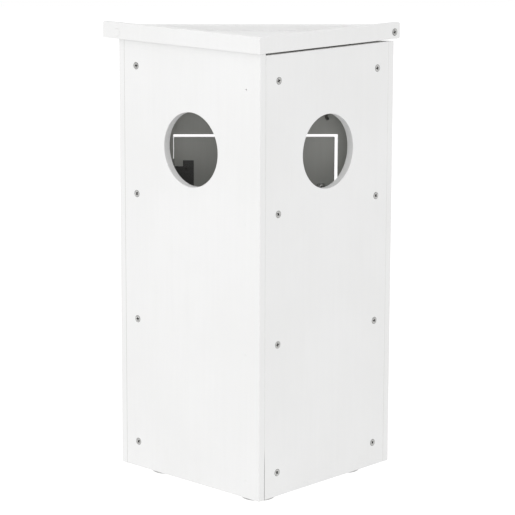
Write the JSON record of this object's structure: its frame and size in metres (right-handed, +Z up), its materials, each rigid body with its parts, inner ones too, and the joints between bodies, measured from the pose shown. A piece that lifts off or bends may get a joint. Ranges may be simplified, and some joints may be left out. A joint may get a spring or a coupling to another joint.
{
  "type": "corner nest box",
  "caption": "Tall triangular plywood box with a large round entrance in each front face, an inset rear access door on hinges with a turn button, and a lift-off tray lid.",
  "frame": {"origin": "middle of the outer box, on the ground under the felt pads", "axes": "+Z up, front corner towards -Y, flat rear panel towards +Y"},
  "size_m": [0.3454, 0.1838, 0.529],
  "materials": {
    "white_paint": "white painted birch plywood, satin",
    "painted_timber": "white painted softwood, satin",
    "zinc_screw": "zinc plated",
    "steel_pin": "plain steel, punched in",
    "black_hinge": "matt black",
    "felt_pad": "dense felt",
    "beech_knob": "clear varnished turned beech"
  },
  "bodies": {
    "carcass": {"floor_board": "painted_timber", "floor_screws": "zinc_screw", "front_base_pad": "felt_pad", "front_corner_batten": "painted_timber", "hinge_frame_screws": "black_hinge", "left_panel": "white_paint", "left_panel_pins": "steel_pin", "left_panel_screws": "zinc_screw", "left_rear_base_pad": "felt_pad", "left_rear_batten": "painted_timber", "lower_hinge_frame_leaf": "black_hinge", "lower_hinge_pin": "black_hinge", "rear_panel": "white_paint", "rear_panel_screws": "zinc_screw", "right_panel": "white_paint", "right_panel_front_screws": "zinc_screw", "right_panel_rear_screws": "zinc_screw", "right_rear_base_pad": "felt_pad", "right_rear_batten": "painted_timber", "turn_button_screw": "zinc_screw", "turn_button_washer": "zinc_screw", "upper_hinge_frame_leaf": "black_hinge", "upper_hinge_pin": "black_hinge"},
    "door": {"door_panel": "white_paint", "upper_hinge_door_leaf": "black_hinge", "lower_hinge_door_leaf": "black_hinge", "hinge_door_screws": "black_hinge", "door_knob": "beech_knob", "door_knob_screw": "zinc_screw", "door_knob_washer": "zinc_screw"},
    "turn_button": {"turn_button": "white_paint"},
    "lid": {"lid_board": "white_paint", "lid_cleat_screws": "zinc_screw", "lid_left_cleat": "painted_timber", "lid_left_rim": "white_paint", "lid_rail_screws": "zinc_screw", "lid_rear_rail": "white_paint", "lid_right_cleat": "painted_timber", "lid_right_rim": "white_paint"}
  },
  "joints": [
    {"name": "door_hinge", "type": "hinge", "parent": "carcass", "child": "door", "pos_m": [-0.09042, 0.07346, 0.225], "axis": [0, 0, 1], "range_deg": [0, 115]},
    {"name": "turn_button_pivot", "type": "hinge", "parent": "carcass", "child": "turn_button", "pos_m": [0.08733, 0.07036, 0.4194], "axis": [0, -1, 0], "continuous": true},
    {"name": "lid_lift", "type": "slide", "parent": "carcass", "child": "lid", "axis": [0, 0, 1], "range_m": [0, 0.06]}
  ]
}
